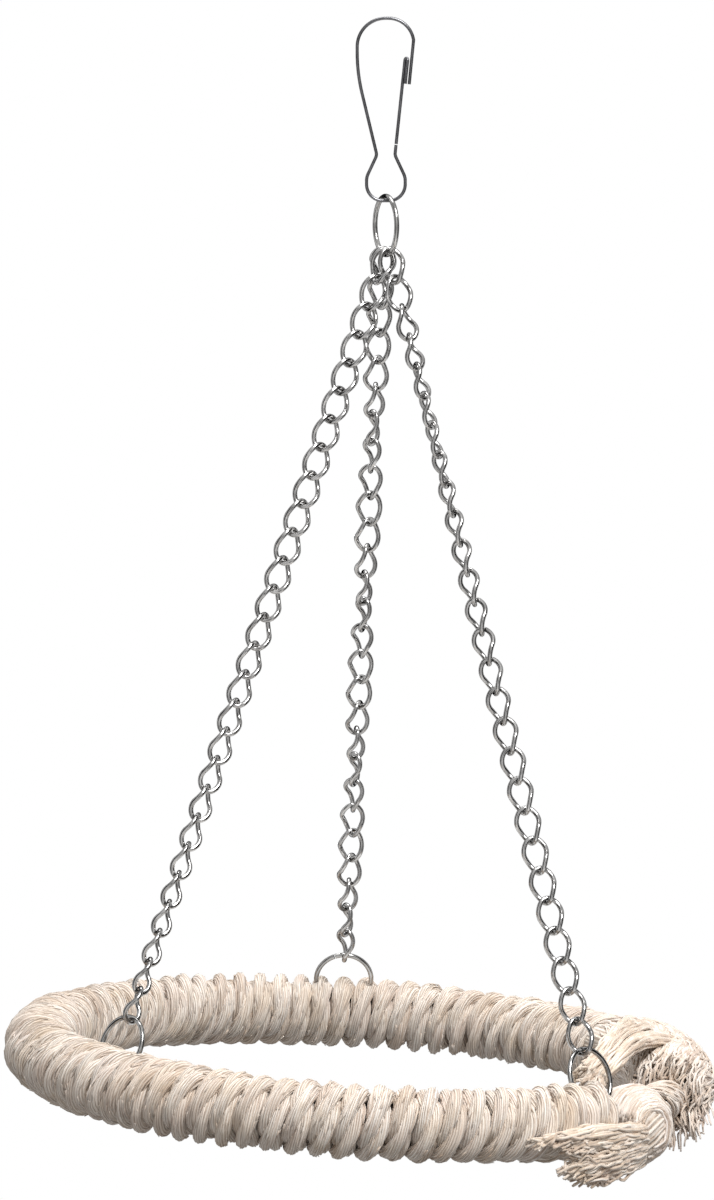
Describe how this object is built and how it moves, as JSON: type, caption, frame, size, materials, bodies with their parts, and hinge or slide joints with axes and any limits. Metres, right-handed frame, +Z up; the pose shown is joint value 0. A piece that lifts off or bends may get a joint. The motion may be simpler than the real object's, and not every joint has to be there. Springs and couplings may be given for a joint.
{
  "type": "bird swing",
  "caption": "Hanging bird swing: a hoop perch wound in cotton rope, hung by twisted curb chains from a jump ring and a wire snap clip, its rope ends knotted and frayed into tassels.",
  "frame": {"origin": "inside top of the clip's bow, where the swing hangs on its support", "axes": "+Z up, along the plumb line; +X to the right; +Y away from the viewer, front is -Y"},
  "size_m": [0.1968, 0.1973, 0.3125],
  "materials": {
    "spring_wire": "dark drawn spring steel wire",
    "plated_ring": "nickel plated, slightly dull",
    "plated_chain": "nickel plated, slightly dull",
    "core_steel": "drawn steel wire",
    "cotton_rope": "undyed twisted cotton rope",
    "frayed_cotton": "frayed, untwisted cotton yarn"
  },
  "bodies": {
    "clip": {"clip_wire": "spring_wire"},
    "gate_arm": {"clip_gate_arm": "spring_wire"},
    "ring": {"top_ring": "plated_ring"},
    "first_links": {"left_chain_01": "plated_chain", "middle_chain_01": "plated_chain", "right_chain_01": "plated_chain"},
    "hung_hoop": {"left_chain_02": "plated_chain", "left_chain_03": "plated_chain", "left_chain_04": "plated_chain", "left_chain_05": "plated_chain", "left_chain_06": "plated_chain", "left_chain_07": "plated_chain", "left_chain_08": "plated_chain", "left_chain_09": "plated_chain", "left_chain_10": "plated_chain", "left_chain_11": "plated_chain", "left_chain_12": "plated_chain", "left_chain_13": "plated_chain", "left_chain_14": "plated_chain", "middle_chain_02": "plated_chain", "middle_chain_03": "plated_chain", "middle_chain_04": "plated_chain", "middle_chain_05": "plated_chain", "middle_chain_06": "plated_chain", "middle_chain_07": "plated_chain", "middle_chain_08": "plated_chain", "middle_chain_09": "plated_chain", "middle_chain_10": "plated_chain", "middle_chain_11": "plated_chain", "middle_chain_12": "plated_chain", "middle_chain_13": "plated_chain", "middle_chain_14": "plated_chain", "right_chain_02": "plated_chain", "right_chain_03": "plated_chain", "right_chain_04": "plated_chain", "right_chain_05": "plated_chain", "right_chain_06": "plated_chain", "right_chain_07": "plated_chain", "right_chain_08": "plated_chain", "right_chain_09": "plated_chain", "right_chain_10": "plated_chain", "right_chain_11": "plated_chain", "right_chain_12": "plated_chain", "right_chain_13": "plated_chain", "right_chain_14": "plated_chain", "left_connector": "plated_ring", "middle_connector": "plated_ring", "right_connector": "plated_ring", "hoop_core": "core_steel", "rope_winding": "cotton_rope", "upper_rope_knot": "cotton_rope", "lower_rope_knot": "cotton_rope", "upper_tassel": "frayed_cotton", "lower_tassel": "frayed_cotton"}
  },
  "joints": [
    {"name": "gate_flex", "type": "hinge", "parent": "clip", "child": "gate_arm", "pos_m": [0.0028, 0, -0.03437], "axis": [0, -1, 0], "range_deg": [0, 15], "stiffness_Nm_per_rad": 0.002},
    {"name": "swing_front_back", "type": "hinge", "parent": "clip", "child": "ring", "pos_m": [0, 0, -0.04985], "axis": [1, 0, 0], "range_deg": [-40, 40]},
    {"name": "swing_sideways", "type": "hinge", "parent": "ring", "child": "first_links", "pos_m": [0, 0, -0.06475], "axis": [0.3665, -0.9304, 0], "range_deg": [-40, 40]},
    {"name": "twist", "type": "hinge", "parent": "first_links", "child": "hung_hoop", "pos_m": [-0.0004, 0.0002, -0.0648], "axis": [0, 0, 1], "range_deg": [-7, 7]}
  ]
}
